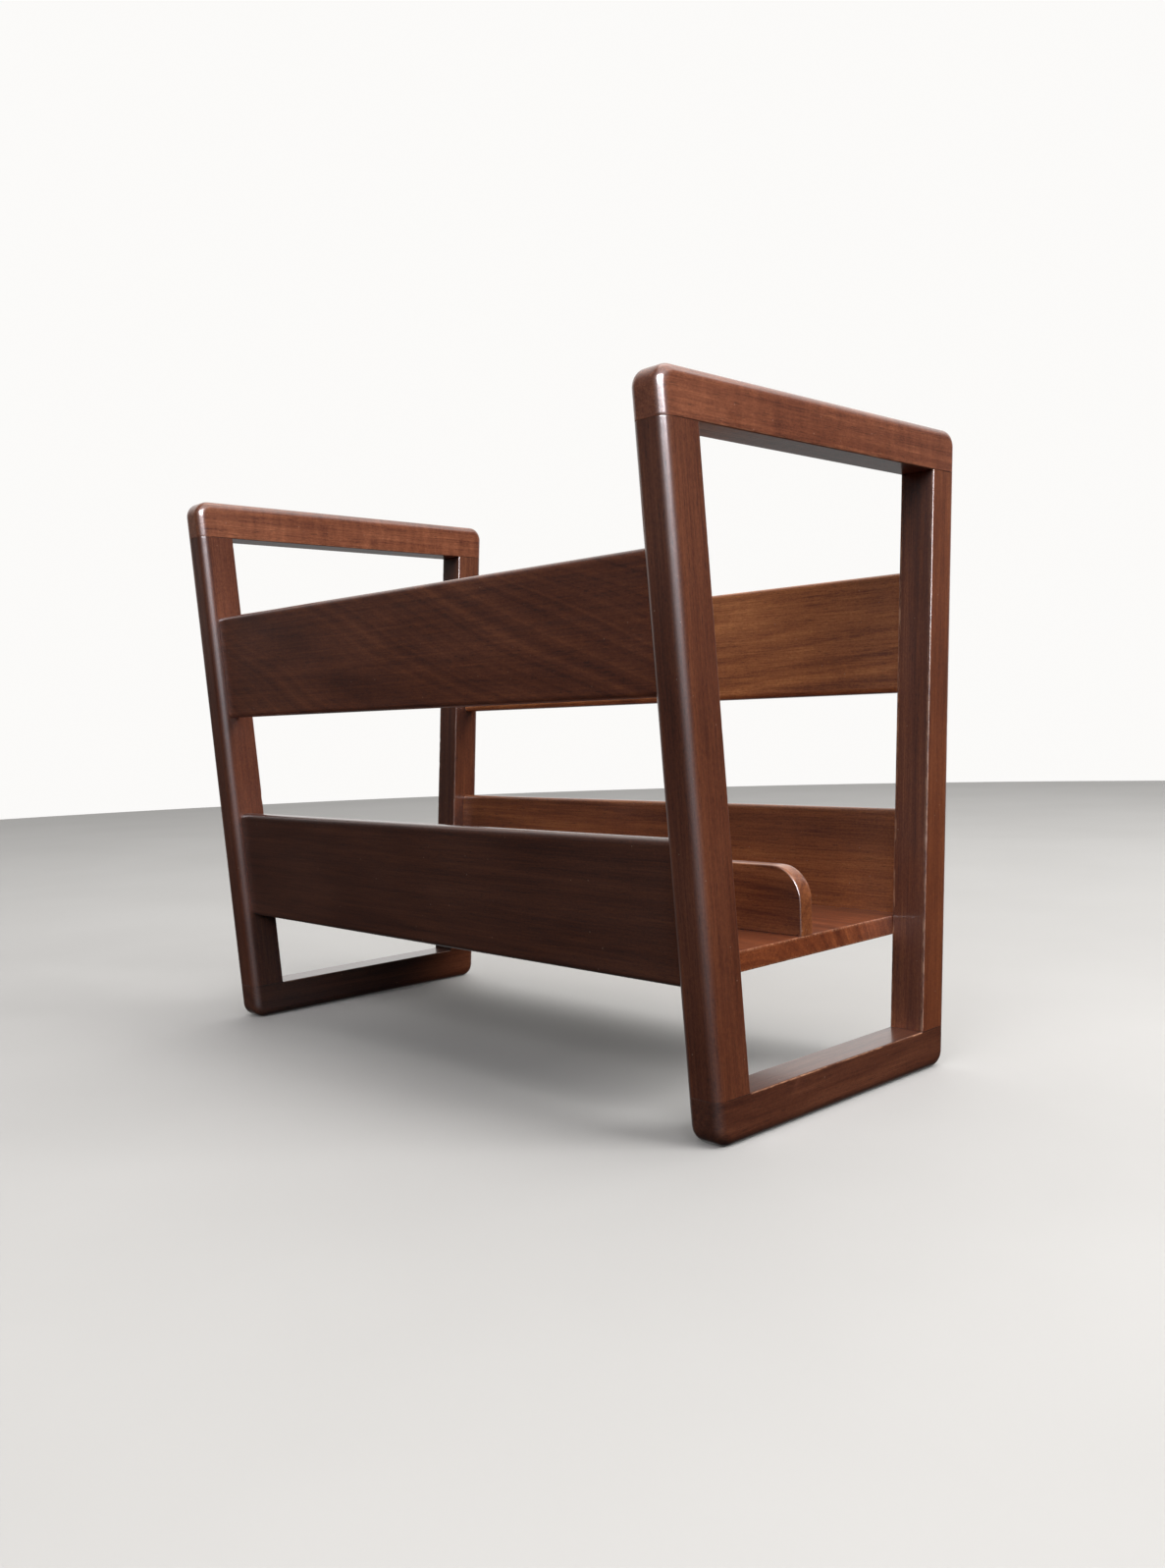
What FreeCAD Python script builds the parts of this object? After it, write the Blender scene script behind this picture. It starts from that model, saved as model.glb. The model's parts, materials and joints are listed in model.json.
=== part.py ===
import FreeCAD, Part
import math
import os

# A wooden magazine rack. Two end frames, wider at the top than at the floor, carry two slats on
# each side. A shelf lies between the lower slats, and a low divider stands along its middle.
# X runs along the rack, Y across it and Z up, in millimetres. The origin is on the floor, under
# the middle of the rack. "Left" and "right" are the -X and +X ends; "front" is the -Y side.

Vector = FreeCAD.Vector
X_AXIS = Vector(1, 0, 0)
Y_AXIS = Vector(0, 1, 0)
Z_AXIS = Vector(0, 0, 1)
TOLERANCE = 1e-3
FULL_TURN = 360

# ---- driving dimensions ---------------------------------------------------------------------
# overall, with the widths at the sharp corners of the end frames
rack_length = 478.0
rack_height = 385.0
top_width = 266.5
bottom_width = 209.0

# end frames
frame_thickness = 22.5
post_width = 25.2
top_rail_height = 26.0
bottom_rail_height = 24.5
frame_corner_radius = 10.0
frame_arris_radius = 6.0
opening_arris_radius = 0.6

# slats, with the gap that is left under the top rails for a hand
hand_gap = 58.0
slat_thickness = 9.3
slat_set_in = 6.2
slat_arris_radius = 3.2
lower_slat_bottom = 79.3
lower_slat_height = 76.5
upper_slat_height = 74.0

# shelf and divider
shelf_thickness = 11.5
shelf_lift = 1.0
divider_thickness = 11.0
divider_height = 39.0
divider_corner_radius = 20.0
divider_arris_radius = 0.8
shelf_arris_radius = 0.5

# dowels: diameter, length each side of the joint, and how they are spread
glue_gap = 0.05
glue_pocket = 1.0
dowel_chamfer = 0.6
corner_dowel_diameter = 6.0
corner_dowel_in_rail = 15.0
corner_dowel_in_post = 20.0
corner_dowel_spacing = 12.0
slat_dowel_diameter = 5.0
slat_dowel_in_post = 13.0
slat_dowel_in_slat = 20.0
slat_dowel_spacing = 44.0
shelf_dowel_diameter = 6.0
shelf_dowel_in_slat = 5.0
shelf_dowel_in_shelf = 20.0
shelf_dowel_count = 3
shelf_dowel_spacing = 160.0

# countersunk wood screws that hold the divider from under the shelf
screw_count = 3
screw_spacing = 165.0
screw_length = 25.0
screw_shank_diameter = 3.5
screw_head_diameter = 7.0
screw_point_length = 4.0
screw_sink = 0.4
screw_rim_height = 0.2
screw_slot_width = 1.0
screw_slot_depth = 1.1
screw_clearance = 0.05

# ---- derived places -------------------------------------------------------------------------
half_length = rack_length / 2
frame_inner_x = half_length - frame_thickness
frame_middle_x = half_length - frame_thickness / 2
spread = (top_width - bottom_width) / 2 / rack_height
lean = math.atan(spread)
lean_degrees = math.degrees(lean)
top_joint_z = rack_height - top_rail_height
bottom_joint_z = bottom_rail_height
upper_slat_bottom = top_joint_z - hand_gap - upper_slat_height
shelf_bottom = lower_slat_bottom + shelf_lift
shelf_top = shelf_bottom + shelf_thickness
shelf_middle_z = shelf_bottom + shelf_thickness / 2
slat_middle_set_in = slat_set_in + slat_thickness / 2

ENDS = {"left": -1, "right": 1}
SIDES = {"front": -1, "back": 1}
SLATS = {
    "upper": (upper_slat_bottom, upper_slat_height),
    "lower": (lower_slat_bottom, lower_slat_height),
}


def half_width(z, set_in=0.0):
    """Half the rack's width at height z, measured set_in inside the frames' outer line."""
    return bottom_width / 2 + spread * z - set_in / math.cos(lean)


def prism(points, start, direction):
    """A straight solid whose section is the closed outline of some points."""
    corners = [start + point for point in points]
    face = Part.Face(Part.makePolygon(corners + corners[:1]))
    return face.extrude(direction)


def band(low_z, high_z, set_in):
    """The (y, z) corners of the leaning outline between two heights."""
    low = half_width(low_z, set_in)
    high = half_width(high_z, set_in)
    return [
        Vector(0, -low, low_z),
        Vector(0, low, low_z),
        Vector(0, high, high_z),
        Vector(0, -high, high_z),
    ]


def edges_along(shape, axis):
    """The straight edges of a shape that run along one axis."""
    found = []
    for edge in shape.Edges:
        if len(edge.Vertexes) != 2:
            continue
        run = edge.Vertexes[1].Point - edge.Vertexes[0].Point
        if abs(abs(run.normalize().dot(axis)) - 1) < TOLERANCE ** 2:
            found.append(edge)
    return found


def edges_on_faces(shape, half_thickness):
    """The edges of a shape that lie in its two faces across X, at plus and minus half_thickness."""
    return [
        edge for edge in shape.Edges
        if edge.BoundBox.XLength < TOLERANCE and abs(abs(edge.CenterOfMass.x) - half_thickness) < TOLERANCE
    ]


def dowel(radius, start, end):
    """A round dowel between two points, with chamfered ends."""
    axis = end - start
    rod = Part.makeCylinder(radius, axis.Length, start, axis)
    rims = [edge for edge in rod.Edges if edge.Closed and len(edge.Vertexes) == 1]
    return rod.makeChamfer(dowel_chamfer, rims)


def dowel_hole(radius, start, end):
    """The hole for a dowel: wider by the glue gap and deeper by the glue pocket at both ends."""
    direction = (end - start).normalize()
    reach = end - start + direction * (2 * glue_pocket)
    return Part.makeCylinder(radius + glue_gap, reach.Length, start - direction * glue_pocket, direction)


# ---- end frames -----------------------------------------------------------------------------
def starts_at_opening(edge):
    """Whether an edge's ends are corners of the frame's opening."""
    ends = [vertex.Point for vertex in edge.Vertexes]
    return all(abs(abs(end.y) - half_width(end.z, post_width)) < TOLERANCE for end in ends)


def whole_frame():
    """One end frame, centred on X = 0. Its arrises are rounded over after it is glued up, so it
    is shaped in one piece here and then divided at its joints."""
    half = frame_thickness / 2
    start = Vector(-half, 0, 0)
    through = Vector(frame_thickness, 0, 0)
    blank = prism(band(0, rack_height, 0), start, through)
    blank = blank.makeFillet(frame_corner_radius, edges_along(blank, X_AXIS))
    blank = blank.makeFillet(frame_arris_radius, edges_on_faces(blank, half))
    frame = blank.cut(prism(band(bottom_joint_z, top_joint_z, post_width), start, through))
    opening = [edge for edge in edges_on_faces(frame, half) if starts_at_opening(edge)]
    return frame.makeFillet(opening_arris_radius, opening)


def frame_members(frame):
    """The frame sawn at its joints: the rails run the full width, the posts butt between them."""
    reach = max(top_width, bottom_width)
    post_length = top_joint_z - bottom_joint_z

    def block(y, z, height):
        return Part.makeBox(frame_thickness, reach, height, Vector(-frame_thickness / 2, y, z))

    return {
        "top_rail": frame.common(block(-reach / 2, top_joint_z, top_rail_height)),
        "bottom_rail": frame.common(block(-reach / 2, 0, bottom_rail_height)),
        "front_post": frame.common(block(-reach, bottom_joint_z, post_length)),
        "back_post": frame.common(block(0, bottom_joint_z, post_length)),
    }


# ---- slats ----------------------------------------------------------------------------------
def slat(bottom_z, height):
    """A front slat. It leans with the posts and butts against the frames' inner faces."""
    board = Part.makeBox(
        2 * frame_inner_x, slat_thickness, height, Vector(-frame_inner_x, -slat_thickness / 2, 0)
    )
    board = board.makeFillet(slat_arris_radius, edges_along(board, X_AXIS))
    board.rotate(Vector(0, 0, 0), X_AXIS, lean_degrees)
    return board.translated(Vector(0, -half_width(bottom_z, slat_middle_set_in), bottom_z))


# ---- shelf and divider ----------------------------------------------------------------------
def shelf_board():
    """The shelf's long edges are bevelled to lie against the leaning slats."""
    outline = band(shelf_bottom, shelf_top, slat_set_in + slat_thickness)
    board = prism(outline, Vector(-frame_inner_x, 0, 0), Vector(2 * frame_inner_x, 0, 0))
    return board.makeFillet(shelf_arris_radius, edges_along(board, Y_AXIS))


def divider_board():
    """A low upright board with rounded upper corners, as long as the shelf."""
    corner = Vector(-frame_inner_x, -divider_thickness / 2, shelf_top)
    board = Part.makeBox(2 * frame_inner_x, divider_thickness, divider_height, corner)
    across = edges_along(board, Y_AXIS)
    board = board.makeFillet(divider_corner_radius, [edge for edge in across if is_above_shelf(edge)])
    outline = [edge for edge in board.Edges if edge.BoundBox.YLength < TOLERANCE and is_above_shelf(edge)]
    return board.makeFillet(divider_arris_radius, outline)


def is_above_shelf(edge):
    """Whether an edge of the divider is clear of its foot, which stays sharp on the shelf."""
    return edge.CenterOfMass.z > shelf_top + TOLERANCE


# ---- screws ---------------------------------------------------------------------------------
def screw_body(x, clearance, foot_z):
    """The turned outline of an upward countersunk screw, grown by a clearance. A straight neck
    as wide as the head runs from foot_z to the head's rim."""
    shank = screw_shank_diameter / 2 + clearance
    head = screw_head_diameter / 2 + clearance
    rim_z = shelf_bottom + screw_sink
    tip_z = rim_z + screw_length + clearance
    outline = [
        Vector(x, 0, foot_z),
        Vector(x + head, 0, foot_z),
        Vector(x + head, 0, rim_z),
        Vector(x + shank, 0, rim_z + head - shank),
        Vector(x + shank, 0, tip_z - screw_point_length),
        Vector(x, 0, tip_z),
    ]
    face = Part.Face(Part.makePolygon(outline + outline[:1]))
    return face.revolve(Vector(x, 0, 0), Z_AXIS, FULL_TURN)


def screw(x):
    """A slotted countersunk screw, its head sunk a little into the shelf's underside."""
    foot_z = shelf_bottom + screw_sink - screw_rim_height
    corner = Vector(x - screw_head_diameter, -screw_slot_width / 2, foot_z)
    slot = Part.makeBox(2 * screw_head_diameter, screw_slot_width, screw_slot_depth, corner)
    return screw_body(x, 0, foot_z).cut(slot)


def screw_hole(x):
    """The countersunk hole, open at the shelf's underside, that a screw sits in."""
    return screw_body(x, screw_clearance, shelf_bottom)


# ---- where the dowels go --------------------------------------------------------------------
def spread_out(count, spacing):
    """Evenly spaced offsets about zero."""
    return [(index - (count - 1) / 2) * spacing for index in range(count)]


def corner_dowel_lines(end, side, joint_z, rail_is_above):
    """Upright dowels between a post's end and a rail."""
    down, up = corner_dowel_in_post, corner_dowel_in_rail
    if not rail_is_above:
        down, up = up, down
    middle_y = side * half_width(joint_z, post_width / 2)
    lines = []
    for offset in spread_out(2, corner_dowel_spacing):
        foot = Vector(end * frame_middle_x, middle_y + offset, joint_z)
        lines.append((foot - Z_AXIS * down, foot + Z_AXIS * up))
    return lines


def slat_dowel_lines(end, side, bottom_z, height):
    """Dowels along X between a slat's end and a post."""
    lines = []
    for offset in spread_out(2, slat_dowel_spacing):
        along = height / 2 + offset
        y = side * (half_width(bottom_z, slat_middle_set_in) + along * math.sin(lean))
        face = Vector(end * frame_inner_x, y, bottom_z + along * math.cos(lean))
        inward = X_AXIS * (-end * slat_dowel_in_slat)
        outward = X_AXIS * (end * slat_dowel_in_post)
        lines.append((face + inward, face + outward))
    return lines


def shelf_dowel_lines(side):
    """Dowels along Y between a long edge of the shelf and a lower slat."""
    edge_y = side * half_width(shelf_middle_z, slat_set_in + slat_thickness)
    lines = []
    for x in spread_out(shelf_dowel_count, shelf_dowel_spacing):
        face = Vector(x, edge_y, shelf_middle_z)
        inward = Y_AXIS * (-side * shelf_dowel_in_shelf)
        outward = Y_AXIS * (side * shelf_dowel_in_slat)
        lines.append((face + inward, face + outward))
    return lines


# ---- assembly -------------------------------------------------------------------------------
pieces = {}
hardware = {}


def add_dowels(node, diameter, lines, joined):
    """Make a group of dowels and bore their holes in the pieces that they join."""
    radius = diameter / 2
    for start, end in lines:
        hole = dowel_hole(radius, start, end)
        for name in joined:
            pieces[name] = pieces[name].cut(hole)
        hardware.setdefault(node, []).append(dowel(radius, start, end))


members = frame_members(whole_frame())
for end_name, end in ENDS.items():
    for member_name, member in members.items():
        pieces[f"{end_name}_{member_name}"] = member.translated(Vector(end * frame_middle_x, 0, 0))

for level, (bottom_z, height) in SLATS.items():
    front = slat(bottom_z, height)
    pieces[f"front_{level}_slat"] = front
    pieces[f"back_{level}_slat"] = front.mirror(Vector(0, 0, 0), Y_AXIS)

pieces["bottom_shelf"] = shelf_board()
pieces["centre_divider"] = divider_board()

for end_name, end in ENDS.items():
    for side_name, side in SIDES.items():
        post = f"{end_name}_{side_name}_post"
        for rail, joint_z, rail_is_above in (
            ("top", top_joint_z, True),
            ("bottom", bottom_joint_z, False),
        ):
            node = f"{end_name}_{rail}_corner_dowels"
            lines = corner_dowel_lines(end, side, joint_z, rail_is_above)
            add_dowels(node, corner_dowel_diameter, lines, [post, f"{end_name}_{rail}_rail"])
        for level, (bottom_z, height) in SLATS.items():
            board = f"{side_name}_{level}_slat"
            lines = slat_dowel_lines(end, side, bottom_z, height)
            add_dowels(f"{board}_dowels", slat_dowel_diameter, lines, [post, board])

for side_name, side in SIDES.items():
    joined = ["bottom_shelf", f"{side_name}_lower_slat"]
    add_dowels(f"{side_name}_shelf_dowels", shelf_dowel_diameter, shelf_dowel_lines(side), joined)

for x in spread_out(screw_count, screw_spacing):
    hole = screw_hole(x)
    for name in ("bottom_shelf", "centre_divider"):
        pieces[name] = pieces[name].cut(hole)
    hardware.setdefault("divider_screws", []).append(screw(x))

os.makedirs("parts", exist_ok=True)
for name, shape in pieces.items():
    shape.exportStep(f"parts/{name}.step")
for name, solids in hardware.items():
    Part.makeCompound(solids).exportStep(f"parts/{name}.step")
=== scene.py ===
import json
import math

import bmesh
import bpy
import numpy as np
from mathutils import Matrix, Vector, noise


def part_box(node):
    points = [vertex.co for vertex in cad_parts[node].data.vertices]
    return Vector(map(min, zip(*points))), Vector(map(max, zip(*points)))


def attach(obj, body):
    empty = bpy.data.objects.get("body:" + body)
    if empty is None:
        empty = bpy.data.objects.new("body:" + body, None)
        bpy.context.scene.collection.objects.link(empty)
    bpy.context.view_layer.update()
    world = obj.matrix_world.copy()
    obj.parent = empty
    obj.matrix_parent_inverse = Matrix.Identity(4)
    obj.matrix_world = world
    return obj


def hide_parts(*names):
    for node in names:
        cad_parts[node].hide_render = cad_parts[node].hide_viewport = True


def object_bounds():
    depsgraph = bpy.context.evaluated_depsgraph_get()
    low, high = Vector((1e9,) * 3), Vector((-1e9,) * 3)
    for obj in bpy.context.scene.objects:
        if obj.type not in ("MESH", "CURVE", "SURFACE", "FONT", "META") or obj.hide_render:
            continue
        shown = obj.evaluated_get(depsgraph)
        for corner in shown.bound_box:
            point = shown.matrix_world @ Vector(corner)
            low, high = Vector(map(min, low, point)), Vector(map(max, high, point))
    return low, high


# A wooden magazine rack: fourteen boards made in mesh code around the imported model. The packed
# dowels and screws stay as they are, with better materials. Lengths are in metres.

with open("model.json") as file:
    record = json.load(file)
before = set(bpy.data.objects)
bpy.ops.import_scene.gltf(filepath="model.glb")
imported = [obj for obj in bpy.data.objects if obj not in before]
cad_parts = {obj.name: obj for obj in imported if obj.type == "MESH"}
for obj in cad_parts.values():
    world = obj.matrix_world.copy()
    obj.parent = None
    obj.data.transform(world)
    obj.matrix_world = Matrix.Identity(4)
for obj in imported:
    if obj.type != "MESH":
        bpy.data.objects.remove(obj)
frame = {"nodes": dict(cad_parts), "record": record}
cad_low, cad_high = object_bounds()

MM = 0.001
ENDS = {"left": -1, "right": 1}
SIDES = {"front": -1, "back": 1}

# ---- sizes that the boards' boxes don't give ------------------------------------------------
FRAME_ARRIS = 6.0 * MM
FRAME_CORNER = 10.0 * MM
OPENING_ARRIS = 0.6 * MM
SLAT_ARRIS = 3.2 * MM
SHELF_ARRIS = 0.5 * MM
DIVIDER_CORNER = 20.0 * MM
DIVIDER_ARRIS = 0.8 * MM
JOINT_EASE = 0.16 * MM  # each side of the small V along a glued joint
SUPPORT = 0.5 * MM  # how far past a rounded edge a row of points keeps the flat face flat

# ---- wear -----------------------------------------------------------------------------------
# Sharp arrises also take a pale colour that is partly worn finish and partly a painted highlight; soft
# ones don't.
SHARP_RADIUS = 1 * MM  # an arris smaller than this takes all the wear
SOFT_WEAR = 0.3  # the share of it that a larger arris takes
SEAM = -1.0  # marks the points along a glued joint, where an arris has 0 to 1
SANDING_PER_METRE = 28
SANDING_DEPTH = 0.10 * MM
KNOCKS_PER_METRE = 210
KNOCK_PATCHES_PER_METRE = 32
KNOCK_DEPTH = 0.45 * MM
SLAT_KNOCK_DEPTH = 0.15 * MM

# ---- mesh fineness --------------------------------------------------------------------------
POINT_KEYS_PER_MM = 1000
CORNER_STEPS = 10
SHARP_ANGLE = math.radians(38)

# ---- places read from the frame -------------------------------------------------------------
rail_low, rail_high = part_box("right_top_rail")
foot_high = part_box("right_bottom_rail")[1]
post_low, post_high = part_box("right_front_post")
half_thickness = (rail_high.x - rail_low.x) / 2
frame_middle_x = (rail_high.x + rail_low.x) / 2
inner_face_x = rail_low.x
top_joint_z = rail_low.z
bottom_joint_z = foot_high.z
half_at_top_joint = -post_low.y
half_at_bottom_joint = foot_high.y
spread = (half_at_top_joint - half_at_bottom_joint) / (top_joint_z - bottom_joint_z)
lean = math.atan(spread)
post_span = half_at_bottom_joint + post_high.y


def outer_y(z):
    """Half the width across the end frames' sides at height z."""
    return half_at_bottom_joint + spread * (z - bottom_joint_z)


# ---- mesh helpers ---------------------------------------------------------------------------
def spaced(start, end, step):
    """Evenly spaced values from start to end, about one step apart."""
    count = max(1, round(abs(end - start) / step))
    return [start + (end - start) * i / count for i in range(count + 1)]


def quarter(radius, steps):
    """A quarter round's points as (run along one face, depth below the other), with how far
    each is round the arris: 1 half-way and 0 at both ends."""
    points = []
    for i in range(steps + 1):
        angle = math.pi / 2 * i / steps
        run = radius * (1 - math.cos(angle))
        depth = radius * (1 - math.sin(angle))
        points.append((run, depth, math.sin(2 * angle)))
    return points


def edge_profile(half, radius, steps, flats):
    """The section of a rounded board edge: (across, depth, arris) from one face to the other.
    Sharp arrises are marked up to 1 and take all the wear and the pale painted highlight, and soft ones
    less wear and none of the highlight."""
    wear = 1.0 if radius < SHARP_RADIUS else SOFT_WEAR
    first = [(-half, radius + SUPPORT, 0.0)]
    first += [(-half + run, depth, arris * wear) for run, depth, arris in quarter(radius, steps)]
    middle = [(x, 0.0, 0.0) for x in np.linspace(-half + radius, half - radius, flats + 1)[1:-1]]
    last = [(-x, depth, arris) for x, depth, arris in reversed(first)]
    return first + middle + last


class Shell:
    """Collects faces and points, each marked with how much it lies on an arris or in a seam."""

    def __init__(self):
        self.points = []
        self.arris = []
        self.faces = []
        self.index = {}

    def add(self, point, arris=0.0):
        """The index of a point. Points closer than a thousandth of a millimetre are one."""
        key = tuple(round(c / MM * POINT_KEYS_PER_MM) for c in point)
        if key not in self.index:
            self.index[key] = len(self.points)
            self.points.append(tuple(point))
            self.arris.append(arris)
        return self.index[key]

    def face(self, corners):
        """A face, without the corners that fall together."""
        kept = [c for i, c in enumerate(corners) if c != corners[i - 1]]
        if len(set(kept)) == len(kept) and len(kept) > 2:
            self.faces.append(kept)

    def grid(self, rows, closed=False):
        """Quads between rows of point indices."""
        for row, following in zip(rows, rows[1:]):
            count = len(row) if closed else len(row) - 1
            for i in range(count):
                j = (i + 1) % len(row)
                self.face([row[i], row[j], following[j], following[i]])


def sweep(loops, arris):
    """A closed shell through loops of points, capped at both ends, which lie against a joint."""
    shell = Shell()
    rows = []
    for i, loop in enumerate(loops):
        marks = [SEAM] * len(loop) if i in (0, len(loops) - 1) else arris
        rows.append([shell.add(point, mark) for point, mark in zip(loop, marks)])
    shell.grid(rows, closed=True)
    shell.face(list(reversed(rows[0])))
    shell.face(rows[-1])
    return shell


# ---- hand-sanded unevenness and small knocks along the arrises ------------------------------
# The seed moves each board to its own part of the noise.
def sanding(point, seed):
    """How far the hand-sanded arris lies below the true round at a point, in metres."""
    place = Vector(point) * SANDING_PER_METRE + Vector((seed * 3.7, seed * 1.3, 0))
    return SANDING_DEPTH * (0.5 + 0.5 * noise.noise(place))


def knock(point, seed, depth):
    """The depth of the small dents and chips at a point on an arris."""
    shallowest, patch_growth, steepness = 0.25, 0.15, 3.2
    place = Vector(point) * KNOCKS_PER_METRE + Vector((seed * 11.3, 0, seed * 7.1))
    patch = noise.noise(Vector(point) * KNOCK_PATCHES_PER_METRE + Vector((0, seed * 5.9, 0)))
    strength = max(0.0, noise.noise(place) - shallowest) * max(0.0, patch + patch_growth)
    return depth * min(1.0, steepness * strength)


def board(name, shell, matrix, seed, knock_depth):
    """Makes a shell given in the row frame into an object whose own X axis runs along the grain."""
    mesh = bpy.data.meshes.new(name)
    mesh.from_pydata(shell.points, [], shell.faces)
    outward = bmesh.new()
    outward.from_mesh(mesh)
    bmesh.ops.recalc_face_normals(outward, faces=outward.faces)
    outward.to_mesh(mesh)
    outward.free()
    normals = [v.normal.copy() for v in mesh.vertices]
    for vertex, normal, arris in zip(mesh.vertices, normals, shell.arris):
        drop = max(0.0, arris) * (sanding(vertex.co, seed) + knock(vertex.co, seed, knock_depth))
        moved = vertex.co - normal * drop
        vertex.co = [min(max(c, low), high) for c, low, high in zip(moved, cad_low, cad_high)]
    attribute = mesh.attributes.new("arris", "FLOAT", "POINT")
    attribute.data.foreach_set("value", np.array(shell.arris, np.float32))
    mesh.transform(matrix.inverted())
    mesh.shade_smooth()
    mesh.set_sharp_from_angle(angle=SHARP_ANGLE)
    piece = bpy.data.objects.new(name, mesh)
    piece.matrix_world = matrix
    bpy.context.scene.collection.objects.link(piece)
    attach(piece, "root")
    return piece


def grain_frame(centre, along, across):
    """A matrix whose X axis runs along the grain and whose Y axis runs across the board."""
    x = Vector(along).normalized()
    z = x.cross(Vector(across)).normalized()
    y = z.cross(x)
    matrix = Matrix((x, y, z)).transposed().to_4x4()
    matrix.translation = centre
    return matrix


# ---- end frames -----------------------------------------------------------------------------
def rounded_path(corners, radius, step, ease):
    """Stations along a path of three runs with two rounded corners: (point, inward normal),
    where points are (y, z). The first and last stations stand ease from the ends."""
    points = [Vector(c) for c in corners]
    inward = []
    for start, end in zip(points, points[1:]):
        run = (end - start).normalized()
        inward.append(Vector((run.y, -run.x)))
    stations = []
    begin = points[0]
    for corner, before, after in zip(points[1:-1], inward, inward[1:]):
        turn = before.angle(after)
        cut = radius * math.tan(turn / 2)
        stop = corner - Vector((-before.y, before.x)) * cut
        length = (stop - begin).length
        stations += [(begin.lerp(stop, t / length), before) for t in spaced(0, length, step)]
        centre = stop + before * radius
        for i in range(1, CORNER_STEPS + 1):
            normal = before.slerp(after, i / CORNER_STEPS)
            stations.append((centre - normal * radius, normal))
        stations.pop()
        begin = centre - after * radius
    length = (points[-1] - begin).length
    stations += [(begin.lerp(points[-1], t / length), inward[-1]) for t in spaced(0, length, step)]
    start_tangent = Vector((-inward[0].y, inward[0].x))
    end_tangent = Vector((-inward[-1].y, inward[-1].x))
    head = (stations[0][0] + start_tangent * ease, inward[0])
    tail = (stations[-1][0] - end_tangent * ease, inward[-1])
    return stations[:1] + [head] + stations[1:-1] + [tail] + stations[-1:]


def plate(path, profile, place, foot_arris):
    """A flat plate whose outer edge follows a path of (point, inward normal) stations and has a
    rounded section. Its foot is the straight line between the path's two ends. place(across, u, v)
    gives the row-frame point, and foot_arris(u) the radius of the foot's two long arrises."""
    shell = Shell()
    first, last = path[0][0], path[-1][0]
    final = len(path) - 1
    face = abs(profile[0][0])
    upward = 1 if path[final // 2][0].y > first.y else -1

    def foot_rise(across, radius):
        """How far an arris of some radius lifts the foot near the two faces."""
        into = face - abs(across)
        if into >= radius:
            return 0.0
        return radius - math.sqrt(radius ** 2 - (radius - into) ** 2)

    rows = []
    foot = []
    beside = []
    for i, (point, normal) in enumerate(path):
        at_joint = i in (0, final)
        row = []
        line = []
        above = []
        for across, depth, arris in profile:
            inset = min(depth, profile[1][1]) + JOINT_EASE
            left = first.x + path[0][1].x * inset
            right = last.x + path[-1][1].x * inset
            u = left + (right - left) * i / final
            radius = foot_arris(u)
            rise = 0.0 if at_joint else foot_rise(across, radius)
            mark = float(rise > 0)
            if radius == JOINT_EASE and (rise > 0 or at_joint):
                mark = SEAM
            line.append(shell.add(place(across, u, first.y + upward * rise), mark))
            at = point + normal * (depth + (JOINT_EASE if at_joint else 0.0))
            row.append(line[-1] if at_joint else shell.add(place(across, at.x, at.y), arris))
            if at_joint:
                above.append(line[-1])
            elif depth == profile[0][1]:
                room = abs(at.y - first.y) - rise
                lift = rise + min(SUPPORT, room / 2)
                above.append(shell.add(place(across, u, first.y + upward * lift)))
        rows.append(row)
        foot.append(line)
        beside.append(above)
    shell.grid(rows)
    shell.grid([list(reversed(line)) for line in foot])
    shell.grid([[line[0], above[0], row[0]] for row, above, line in zip(rows, beside, foot)])
    shell.grid([[row[-1], above[-1], line[-1]] for row, above, line in zip(rows, beside, foot)])
    return shell


def frame_rail(end_name, level):
    """A top or bottom rail: the full width of the end frame, with both outer corners rounded."""
    end = ENDS[end_name]
    joint_z, edge_z = (top_joint_z, cad_high.z) if level == "top" else (bottom_joint_z, cad_low.z)
    corners = [
        (-outer_y(joint_z), joint_z),
        (-outer_y(edge_z), edge_z),
        (outer_y(edge_z), edge_z),
        (outer_y(joint_z), joint_z),
    ]
    if level == "bottom":
        corners.reverse()
    path = rounded_path(corners, FRAME_CORNER, step=1.6 * MM, ease=JOINT_EASE)
    profile = edge_profile(half_thickness, FRAME_ARRIS, steps=10, flats=5)
    middle_x = end * frame_middle_x
    opening = outer_y(joint_z) - post_span

    def place(across, y, z):
        return Vector((middle_x + across, y, z))

    def foot_arris(y):
        return OPENING_ARRIS if abs(y) < opening - OPENING_ARRIS else JOINT_EASE

    shell = plate(path, profile, place, foot_arris)
    matrix = grain_frame(Vector((middle_x, 0, (joint_z + edge_z) / 2)), (0, 1, 0), (0, 0, 1))
    return shell, matrix


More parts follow.
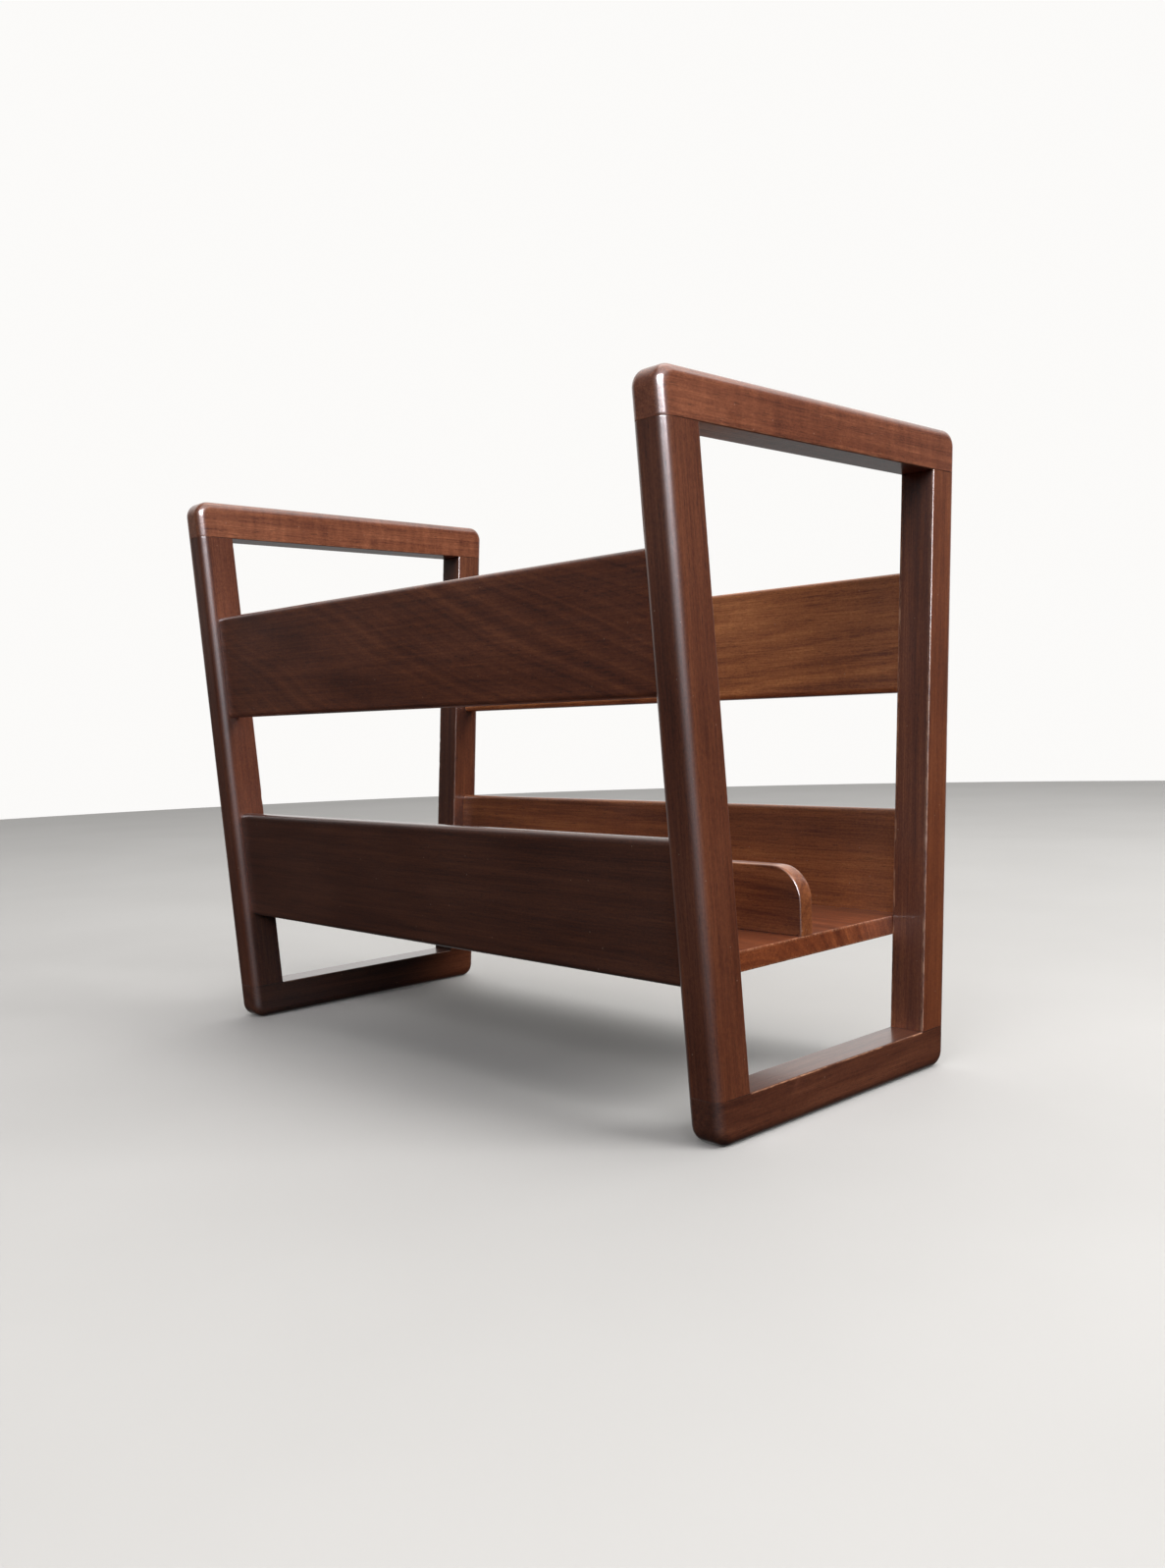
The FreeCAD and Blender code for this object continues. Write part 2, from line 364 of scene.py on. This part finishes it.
def frame_post(end_name, side_name):
    """A post between the rails, leaning outward, with two large and two small arrises."""
    side = SIDES[side_name]
    middle_x = ENDS[end_name] * frame_middle_x
    outer = edge_profile(half_thickness, FRAME_ARRIS, steps=10, flats=5)
    inner = edge_profile(half_thickness, OPENING_ARRIS, steps=4, flats=8)
    outer_edge = outer[0][1]
    inner_edge = post_span - inner[0][1]
    side_points = 5
    section = list(outer)
    for depth in np.linspace(outer_edge, inner_edge, side_points)[1:-1]:
        section.append((half_thickness, depth, 0.0))
    section += [(-x, post_span - depth, 1.0 if arris else 0.0) for x, depth, arris in inner]
    for depth in np.linspace(inner_edge, outer_edge, side_points)[1:-1]:
        section.append((-half_thickness, depth, 0.0))
    clear = 3 * JOINT_EASE
    heights = [bottom_joint_z, bottom_joint_z + JOINT_EASE]
    heights += spaced(bottom_joint_z + clear, top_joint_z - clear, 2.5 * MM)
    heights += [top_joint_z - JOINT_EASE, top_joint_z]
    loops = []
    for i, z in enumerate(heights):
        ease = JOINT_EASE if i in (0, len(heights) - 1) else 0
        scale_x = (half_thickness - ease) / half_thickness
        loop = []
        for x, depth, _ in section:
            eased = min(max(depth, ease), post_span - ease)
            loop.append(Vector((middle_x + x * scale_x, side * (outer_y(z) - eased), z)))
        loops.append(loop if side > 0 else loop[::-1])
    arris = [a for _, _, a in section]
    shell = sweep(loops, arris if side > 0 else arris[::-1])
    centre_y = side * (outer_y((top_joint_z + bottom_joint_z) / 2) - post_span / 2)
    centre = Vector((middle_x, centre_y, (top_joint_z + bottom_joint_z) / 2))
    return shell, grain_frame(centre, (0, side * math.sin(lean), math.cos(lean)), (1, 0, 0))


# ---- slats, shelf and divider ---------------------------------------------------------------
def slat(side_name, level):
    """A slat: a rounded board that leans with the posts. Its thickness and height are worked out
    from its box."""
    side = SIDES[side_name]
    low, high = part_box(f"{side_name}_{level}_slat")
    centre = (low + high) / 2
    size = high - low
    c, s = math.cos(lean), math.sin(lean)
    flat_z = size.z - 2 * SLAT_ARRIS
    flat_y = size.y - 2 * SLAT_ARRIS
    half_height = ((flat_z * c - flat_y * s) / (c * c - s * s)) / 2 + SLAT_ARRIS
    half_depth = ((flat_y * c - flat_z * s) / (c * c - s * s)) / 2 + SLAT_ARRIS
    top = edge_profile(half_depth, SLAT_ARRIS, steps=8, flats=3)
    section = [(y, half_height - depth, arris) for y, depth, arris in top]
    edge = section[-1][1]
    face_step = 4 * MM
    section += [(half_depth, z, 0.0) for z in spaced(edge, -edge, face_step)[1:-1]]
    section += [(-y, -z, arris) for y, z, arris in section[:len(top)]]
    section += [(-half_depth, z, 0.0) for z in spaced(-edge, edge, face_step)[1:-1]]
    reach = inner_face_x
    clear = 1 * MM
    stations = [-reach, -reach + JOINT_EASE]
    stations += spaced(-reach + clear, reach - clear, 3.2 * MM)
    stations += [reach - JOINT_EASE, reach]
    loops = []
    for i, x in enumerate(stations):
        ease = JOINT_EASE if i in (0, len(stations) - 1) else 0
        shrink_y = (half_depth - ease) / half_depth
        shrink_z = (half_height - ease) / half_height
        loop = []
        for y, z, _ in section:
            deep = y * shrink_y
            tall = z * shrink_z
            loop.append(centre + Vector((x, deep * c + side * tall * s, -side * deep * s + tall * c)))
        loops.append(loop[::-1])
    arris = [a for _, _, a in section][::-1]
    shell = sweep(loops, arris)
    up = Vector((0, side * s, c))
    return shell, grain_frame(centre, (1, 0, 0), up)


def shelf():
    """The shelf, swept across the rack. Its long edges are bevelled to lie against the slats."""
    low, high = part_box("bottom_shelf")
    half_x = high.x
    half_z = (high.z - low.z) / 2
    middle_z = (high.z + low.z) / 2
    end = edge_profile(half_z, SHELF_ARRIS, steps=4, flats=6)
    section = [(half_x - depth, z, 1.0 if arris else 0.0) for z, depth, arris in end]
    edge = section[-1][0]
    face_step = 8 * MM
    section += [(x, half_z, 0.0) for x in spaced(edge, -edge, face_step)[1:-1]]
    section += [(-x, -z, arris) for x, z, arris in section[:len(end)]]
    section += [(x, -half_z, 0.0) for x in spaced(-edge, edge, face_step)[1:-1]]
    reach_top = high.y
    loops = []
    for share in spaced(-1, 1, 1.2 * MM / reach_top):
        loop = []
        for x, z, _ in section:
            reach = reach_top - spread * (half_z - z)
            loop.append(Vector((x, share * reach, middle_z + z)))
        loops.append(loop)
    arris = [a for _, _, a in section]
    return sweep(loops, arris), grain_frame(Vector((0, 0, middle_z)), (1, 0, 0), (0, 1, 0))


def divider():
    """The low divider, a plate with two rounded upper corners and its foot on the shelf."""
    low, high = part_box("centre_divider")
    corners = [(low.x, low.z), (low.x, high.z), (high.x, high.z), (high.x, low.z)]
    path = rounded_path(corners, DIVIDER_CORNER, step=2.4 * MM, ease=JOINT_EASE)
    profile = edge_profile(high.y, DIVIDER_ARRIS, steps=5, flats=5)

    def place(across, x, z):
        return Vector((x, -across, z))

    shell = plate(path, profile, place, lambda x: JOINT_EASE)
    return shell, grain_frame(Vector((0, 0, (low.z + high.z) / 2)), (1, 0, 0), (0, 0, 1))


# ---- materials ------------------------------------------------------------------------------
TO_MM = (1000.0,) * 3  # turns a place in metres into millimetres
HEARTWOOD = [
    (0.22, (0.066, 0.0150, 0.0056)),
    (0.44, (0.128, 0.0345, 0.0130)),
    (0.58, (0.172, 0.0500, 0.0190)),
    (0.82, (0.262, 0.0860, 0.0340)),
]
PORE_COLOUR = (0.026, 0.007, 0.003)
SEAM_COLOUR = (0.018, 0.006, 0.003)
# The pale colour of the sharp arrises: partly worn finish, partly a painted highlight.
WORN_AND_HIGHLIGHT_COLOUR = (0.42, 0.20, 0.105)
DUST_COLOUR = (0.42, 0.27, 0.20)


def make_node(tree, kind, sockets, settings):
    """Adds a node. A socket that is given another node's output is linked to it."""
    made = tree.nodes.new(kind)
    for name, value in settings.items():
        setattr(made, name, value)
    for key, value in sockets.items():
        if isinstance(value, bpy.types.NodeSocket):
            tree.links.new(value, made.inputs[key])
        else:
            made.inputs[key].default_value = value
    return made


class Graph:
    """A short way to write a material's nodes: node returns the node that it adds, and the
    others return the output to use."""

    def __init__(self, name):
        self.material = bpy.data.materials.new(name)
        self.material.use_nodes = True
        self.tree = self.material.node_tree
        self.tree.nodes.clear()

    def node(self, kind, sockets=(), **settings):
        return make_node(self.tree, kind, dict(sockets), settings)

    def math(self, operation, a, b=0.0, clamp=False):
        return self.node("ShaderNodeMath", {0: a, 1: b}, operation=operation, use_clamp=clamp).outputs[0]

    def scaled(self, vector, scale):
        return self.node("ShaderNodeVectorMath", {0: vector, 1: scale}, operation="MULTIPLY").outputs[0]

    def noise(self, vector, scale, detail=2.0, roughness=0.5):
        sockets = {
            "Vector": self.scaled(vector, scale),
            "Scale": 1.0,
            "Detail": detail,
            "Roughness": roughness,
        }
        return self.node("ShaderNodeTexNoise", sockets).outputs[0]

    def swing(self, value, amount):
        """A noise value centred on zero and scaled."""
        return self.math("MULTIPLY", self.math("SUBTRACT", value, 0.5), amount)

    def step(self, value, low, high):
        """0 below low, 1 above high, smooth between."""
        sockets = {"Value": value, "From Min": low, "From Max": high}
        made = self.node("ShaderNodeMapRange", sockets, interpolation_type="SMOOTHSTEP")
        return made.outputs[0]

    def ramp(self, value, stops):
        made = self.node("ShaderNodeValToRGB", {0: value})
        elements = made.color_ramp.elements
        while len(elements) < len(stops):
            elements.new(1.0)
        for element, (position, colour) in zip(elements, stops):
            element.position = position
            element.color = (*colour, 1.0)
        return made.outputs[0]

    def mix(self, factor, a, b, blend_type="MIX"):
        sockets = {0: factor, 6: a, 7: b}
        made = self.node("ShaderNodeMix", sockets, data_type="RGBA", blend_type=blend_type)
        return made.outputs[2]


def rgba(colour):
    return (*colour, 1.0)


def wood(name, seed, tint_and_painted_light, pith, figure=1.0, ripple=0.0, rub_and_highlight=0.3, bands=0.42):
    """Varnished reddish hardwood, in a board whose own X axis runs along the grain.
    pith is how far, in millimetres, the tree's heart lies across and below the board, and how
    much it slants along it, so that the growth bands curve as they do on a real board. figure
    is how far those bands wander, and bands how much they show. ripple is how much the grain
    curls, and rub how strongly the sharp arrises are paled, partly as finish worn from them and
    partly as a painted highlight. tint multiplies the colour, partly the wood's own tone and
    partly painted light and shade."""
    g = Graph(name)
    raw = g.node("ShaderNodeTexCoord").outputs["Object"]
    start = (seed * 173.0, seed * 61.0, seed * 29.0)
    sockets = {0: raw, 1: TO_MM, 2: start}
    place = g.node("ShaderNodeVectorMath", sockets, operation="MULTIPLY_ADD").outputs[0]
    local = g.scaled(raw, TO_MM)
    parts = g.node("ShaderNodeSeparateXYZ", {0: local})
    along, across, through = parts.outputs

    # growth bands, as distance from the heart with a slow wander
    wander = g.swing(g.noise(place, (0.005, 0.016, 0.016), 1.0), 22.0 * figure)
    y = g.math("ADD", g.math("ADD", across, g.math("MULTIPLY", along, pith[2])), pith[0])
    z = g.math("ADD", through, pith[1])
    square = g.math("ADD", g.math("MULTIPLY", y, y), g.math("MULTIPLY", z, z))
    rings = g.math("ADD", g.math("SQRT", square), wander)
    sockets = {"W": rings, "Scale": 0.15, "Detail": 3.0, "Roughness": 0.62}
    band = g.node("ShaderNodeTexNoise", sockets, noise_dimensions="1D").outputs[0]

    # fibres, pores, the ribbon of interlocked grain and the slow changes of colour
    fibre = g.noise(place, (0.035, 1.15, 1.15), 4.0, 0.70)
    streak = g.noise(place, (0.009, 0.33, 0.33), 3.0, 0.68)
    cloud = g.noise(place, (0.010, 0.026, 0.026), 2.0)
    curl = g.noise(place, (0.15, 0.045, 0.045), 2.0)
    grit = g.noise(place, (0.55, 0.95, 0.95), 2.0, 0.7)
    pore = g.step(g.noise(place, (0.16, 1.7, 1.7), 1.0), 0.62, 0.76)

    tone = g.math("ADD", g.swing(band, bands), 0.5)
    for value, amount in ((fibre, 0.66), (streak, 0.50), (cloud, 0.42), (grit, 0.45), (curl, ripple)):
        tone = g.math("ADD", tone, g.swing(value, amount))
    colour = g.ramp(tone, HEARTWOOD)
    colour = g.mix(g.math("MULTIPLY", pore, 0.60), colour, rgba(PORE_COLOUR))
    # each board's tint: partly the wood's own tone, partly painted light and shade matched to the camera's
    # view
    colour = g.mix(1.0, colour, rgba(tint_and_painted_light), "MULTIPLY")

    # rubbed and chipped finish along the sharp arrises, paler there partly as wear and partly as a painted
    # highlight, and a few specks of dust in the varnish
    arris = g.node("ShaderNodeAttribute", attribute_name="arris").outputs["Fac"]
    patchy = g.step(g.noise(place, (0.09, 0.6, 0.6), 3.0, 0.7), 0.40, 0.66)
    rubbed_and_highlit = g.math("MULTIPLY", g.step(arris, 0.40, 0.90), patchy)
    seam = g.step(g.math("MULTIPLY", arris, SEAM), 0.15, 0.85)
    colour = g.mix(g.math("MULTIPLY", seam, 0.8), colour, rgba(SEAM_COLOUR))
    colour = g.mix(g.math("MULTIPLY", rubbed_and_highlit, rub_and_highlight), colour, rgba(WORN_AND_HIGHLIGHT_COLOUR))
    dots = g.node("ShaderNodeTexVoronoi", {"Vector": g.scaled(place, (0.11,) * 3), "Scale": 1.0})
    speck = g.math("SUBTRACT", 1.0, g.step(dots.outputs["Distance"], 0.025, 0.055))
    colour = g.mix(g.math("MULTIPLY", speck, 0.45), colour, rgba(DUST_COLOUR))

    sheen = g.math("ADD", g.swing(fibre, -0.14), g.swing(cloud, 0.10))
    roughness = g.math("ADD", g.math("ADD", sheen, 0.40), g.math("MULTIPLY", rubbed_and_highlit, 0.12))
    height = g.math("ADD", g.math("MULTIPLY", fibre, 0.5), g.math("MULTIPLY", pore, -0.6))
    height = g.math("ADD", height, g.math("MULTIPLY", speck, 0.8))
    bump = g.node("ShaderNodeBump", {"Strength": 0.25, "Distance": 0.12 * MM, "Height": height}).outputs[0]
    orange_peel = g.noise(place, (0.10, 0.22, 0.22), 2.0)
    skin = g.math("ADD", g.math("MULTIPLY", height, 0.30), orange_peel)
    coat_sockets = {"Strength": 0.28, "Distance": 0.10 * MM, "Height": skin}
    coat_bump = g.node("ShaderNodeBump", coat_sockets).outputs[0]

    shader = g.node("ShaderNodeBsdfPrincipled", {
        "Base Color": colour,
        "Roughness": roughness,
        "Normal": bump,
        "Specular IOR Level": 0.28,
        "Coat Weight": 0.75,
        "Coat Roughness": 0.15,
        "Coat IOR": 1.5,
        "Coat Normal": coat_bump,
    })
    g.node("ShaderNodeOutputMaterial", {"Surface": shader.outputs[0]})
    return g.material


def bare_dowel_wood():
    """Pale unfinished beech, with short dark flecks."""
    g = Graph("dowel_beech")
    raw = g.node("ShaderNodeTexCoord").outputs["Object"]
    fibre = g.noise(raw, (900.0,) * 3, 3.0, 0.6)
    fleck = g.step(g.noise(raw, (2400.0,) * 3, 1.0), 0.62, 0.74)
    colour = g.ramp(fibre, [(0.30, (0.42, 0.27, 0.14)), (0.70, (0.66, 0.47, 0.28))])
    colour = g.mix(g.math("MULTIPLY", fleck, 0.5), colour, rgba((0.26, 0.14, 0.07)))
    bump = g.node("ShaderNodeBump", {"Strength": 0.3, "Distance": 0.1 * MM, "Height": fibre}).outputs[0]
    shader = g.node("ShaderNodeBsdfPrincipled", {"Base Color": colour, "Roughness": 0.62, "Normal": bump})
    g.node("ShaderNodeOutputMaterial", {"Surface": shader.outputs[0]})
    return g.material


def screw_metal():
    """Dull zinc-plated steel with turning marks and a few darker spots."""
    g = Graph("screw_steel")
    raw = g.node("ShaderNodeTexCoord").outputs["Object"]
    marks = g.noise(raw, (2600.0, 2600.0, 300.0), 3.0, 0.6)
    spots = g.noise(raw, (500.0,) * 3, 2.0)
    colour = g.ramp(spots, [(0.35, (0.30, 0.28, 0.25)), (0.62, (0.56, 0.55, 0.52))])
    roughness = g.math("ADD", g.swing(marks, 0.3), 0.42)
    bump = g.node("ShaderNodeBump", {"Strength": 0.2, "Distance": 0.05 * MM, "Height": marks}).outputs[0]
    shader = g.node("ShaderNodeBsdfPrincipled", {
        "Base Color": colour,
        "Metallic": 1.0,
        "Roughness": roughness,
        "Normal": bump,
    })
    g.node("ShaderNodeOutputMaterial", {"Surface": shader.outputs[0]})
    return g.material


# ---- the boards -----------------------------------------------------------------------------
# How each board's wood differs. The tints are partly the wood's own colour and partly painted light
# and shade, as they are matched in the camera's view and so also make up for the light there:
# painted shade darkens the front lower slat and the bottom rails, and painted light brightens the
# back slats, which is why they look paler than the rest from behind. rub sets how strongly the sharp
# arrises are paled, partly as worn finish and partly as a painted highlight. The order gives the
# boards their seeds.
LOOKS = {
    "right_top_rail": dict(tint_and_painted_light=(1.22, 1.26, 1.45), pith=(60.0, 30.0, 0.06), figure=0.9, ripple=0.34),
    "right_bottom_rail": dict(tint_and_painted_light=(0.55, 0.56, 0.66), pith=(-40.0, 70.0, 0.03), ripple=0.10, rub_and_highlight=0.9),
    "right_front_post": dict(tint_and_painted_light=(0.74, 0.72, 0.78), pith=(150.0, 40.0, 0.0), figure=0.25),
    "right_back_post": dict(tint_and_painted_light=(1.02, 0.98, 0.92), pith=(-170.0, 60.0, 0.01), figure=0.25, rub_and_highlight=0.9),
    "left_top_rail": dict(tint_and_painted_light=(1.20, 1.30, 1.50), pith=(50.0, -60.0, 0.05), figure=0.7, ripple=0.50),
    "left_bottom_rail": dict(tint_and_painted_light=(0.55, 0.56, 0.66), pith=(80.0, 50.0, 0.02)),
    "left_front_post": dict(tint_and_painted_light=(0.74, 0.72, 0.80), pith=(-140.0, 60.0, 0.0), figure=0.25),
    "left_back_post": dict(tint_and_painted_light=(0.66, 0.66, 0.70), pith=(160.0, -50.0, 0.01), figure=0.25),
    "front_upper_slat": dict(tint_and_painted_light=(0.82, 0.74, 0.70), pith=(38.0, 34.0, 0.40), figure=1.0, ripple=0.12,
                             bands=0.62),
    "front_lower_slat": dict(tint_and_painted_light=(0.46, 0.46, 0.52), pith=(90.0, 120.0, 0.03), figure=0.4),
    "back_upper_slat": dict(tint_and_painted_light=(2.05, 2.35, 1.85), pith=(-20.0, 60.0, -0.12), figure=0.8, ripple=0.12,
                            bands=0.60),
    "back_lower_slat": dict(tint_and_painted_light=(1.60, 1.75, 1.32), pith=(25.0, 90.0, 0.05), figure=0.6, ripple=0.10),
    "bottom_shelf": dict(tint_and_painted_light=(1.28, 1.12, 0.90), pith=(40.0, 55.0, 0.05), figure=0.8, rub_and_highlight=0.7,
                         bands=0.70),
    "centre_divider": dict(tint_and_painted_light=(1.30, 1.35, 1.10), pith=(35.0, 60.0, 0.08), figure=0.8, bands=0.80),
}

builders = {"bottom_shelf": shelf, "centre_divider": divider}
for end_name in ENDS:
    for level in ("top", "bottom"):
        builders[f"{end_name}_{level}_rail"] = lambda e=end_name, v=level: frame_rail(e, v)
    for side_name in SIDES:
        builders[f"{end_name}_{side_name}_post"] = lambda e=end_name, s=side_name: frame_post(e, s)
for side_name in SIDES:
    for level in ("upper", "lower"):
        builders[f"{side_name}_{level}_slat"] = lambda s=side_name, v=level: slat(s, v)

slot_of = {part["node"]: part["material_slot"] for part in frame["record"]["subparts"]}
for seed, (node_name, look) in enumerate(LOOKS.items(), start=1):
    shell, matrix = builders[node_name]()
    knock_depth = SLAT_KNOCK_DEPTH if "slat" in node_name else KNOCK_DEPTH
    piece = board(f"{node_name}_board", shell, matrix, seed, knock_depth)
    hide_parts(node_name)
    piece.data.materials.append(wood(f"wood_{node_name}", seed, **look))

hardware = {"dowel_beech": bare_dowel_wood(), "screw_steel": screw_metal()}
for node_name, obj in frame["nodes"].items():
    if slot_of[node_name] in hardware:
        for material_slot in obj.material_slots:
            material_slot.material = hardware[slot_of[node_name]]


# ---- floor, light and camera ----------------------------------------------------------------
def floor_material():
    """A matt light grey, a little cloudy."""
    g = Graph("pale_floor")
    raw = g.node("ShaderNodeTexCoord").outputs["Object"]
    cloud = g.noise(raw, (3.0,) * 3, 4.0)
    colour = g.ramp(cloud, [(0.3, (0.41, 0.40, 0.385)), (0.7, (0.44, 0.43, 0.415))])
    shader = g.node("ShaderNodeBsdfPrincipled", {"Base Color": colour, "Roughness": 0.7})
    g.node("ShaderNodeOutputMaterial", {"Surface": shader.outputs[0]})
    return g.material


def add_floor():
    """A plain pale disc, with an edge about as far off as a studio's back wall. It neither
    reflects in the varnish nor lights the wood."""
    reach = 3.0
    turns = 96
    angles = [2 * math.pi * i / turns for i in range(turns)]
    rim = [(reach * math.cos(a), reach * math.sin(a), 0) for a in angles]
    mesh = bpy.data.meshes.new("floor")
    mesh.from_pydata(rim, [], [range(turns)])
    mesh.materials.append(floor_material())
    floor = bpy.data.objects.new("floor", mesh)
    bpy.context.scene.collection.objects.link(floor)
    floor.visible_glossy = False
    floor.visible_diffuse = False


def add_light(name, place, size, power, sheen=True, fill=True, colour=(1.0, 1.0, 1.0)):
    """A rectangular softbox that faces the rack. Without sheen it makes no highlights, and
    without fill only those."""
    target = Vector((0, 0, 0.2))
    light = bpy.data.lights.new(name, "AREA")
    light.shape = "RECTANGLE"
    light.size, light.size_y = size
    light.energy = power
    light.color = colour
    lamp = bpy.data.objects.new(name, light)
    lamp.location = place
    lamp.rotation_euler = (target - Vector(place)).to_track_quat("-Z", "Y").to_euler()
    lamp.visible_glossy = sheen
    lamp.visible_diffuse = fill
    bpy.context.scene.collection.objects.link(lamp)


def add_world():
    """A room with a lit wall beyond the rack and dimness behind the camera, which lights and
    reflects in the rack. The camera itself sees a plain pale backdrop in its place."""
    wall_way = (-0.69, 0.66, 0.30)
    dim, lit = 0.05, 1.1
    under_floor = 0.22
    backdrop = 0.97
    world = bpy.data.worlds.new("room")
    bpy.context.scene.world = world
    world.use_nodes = True
    tree = world.node_tree
    tree.nodes.clear()

    def node(kind, sockets, **settings):
        return make_node(tree, kind, sockets, settings)

    way = node("ShaderNodeTexCoord", {}).outputs["Generated"]
    towards = node("ShaderNodeVectorMath", {0: way, 1: wall_way}, operation="DOT_PRODUCT")
    ramp = {
        "Value": towards.outputs["Value"],
        "From Min": 0.30,
        "From Max": 0.75,
        "To Min": dim,
        "To Max": lit,
    }
    wall = node("ShaderNodeMapRange", ramp, interpolation_type="SMOOTHSTEP").outputs[0]
    height = node("ShaderNodeSeparateXYZ", {0: way}).outputs[2]
    ramp = {"Value": height, "From Min": -0.06, "From Max": 0.0, "To Min": under_floor, "To Max": 1.0}
    above_floor = node("ShaderNodeMapRange", ramp).outputs[0]
    room = node("ShaderNodeMath", {0: wall, 1: above_floor}, operation="MULTIPLY").outputs[0]
    seen = node("ShaderNodeLightPath", {}).outputs["Is Camera Ray"]
    strength = node("ShaderNodeMix", {0: seen, 2: room, 3: backdrop}, data_type="FLOAT").outputs[0]
    background = node("ShaderNodeBackground", {"Color": (1.0, 0.99, 0.975, 1.0), "Strength": strength})
    node("ShaderNodeOutputWorld", {0: background.outputs[0]})


def add_camera():
    """A phone held low beside the rack's front right corner, looking a little down."""
    place = Vector((0.6511, -0.5845, 0.2177))
    yaw, pitch, roll = (math.radians(a) for a in (136.39, -2.91, -1.94))
    forward = Vector((math.cos(yaw) * math.cos(pitch), math.sin(yaw) * math.cos(pitch), math.sin(pitch)))
    level_right = Vector((math.sin(yaw), -math.cos(yaw), 0))
    level_up = level_right.cross(forward)
    right = level_right * math.cos(roll) + level_up * math.sin(roll)
    up = level_up * math.cos(roll) - level_right * math.sin(roll)
    camera = bpy.data.cameras.new("camera")
    camera.sensor_fit = "VERTICAL"
    camera.sensor_height = 36.0
    camera.lens = 29.54
    camera.clip_start = 0.01
    holder = bpy.data.objects.new("camera", camera)
    matrix = Matrix((right, up, -forward)).transposed().to_4x4()
    matrix.translation = place
    holder.matrix_world = matrix
    bpy.context.scene.collection.objects.link(holder)
    bpy.context.scene.camera = holder


add_floor()
add_world()
add_light("overhead", (0.7, 0.4, 2.7), size=(3.2, 3.2), power=72)
add_light("side", (2.2, 0.8, 1.7), size=(1.4, 1.4), power=70, sheen=False)
add_light("front", (0.7, -2.5, 1.6), size=(1.6, 1.2), power=34, sheen=False)
add_light("window", (2.0, -2.2, 1.72), size=(2.9, 2.0), power=820, fill=False, colour=(0.96, 0.94, 1.0))
add_camera()
bpy.context.scene.view_settings.view_transform = "Standard"
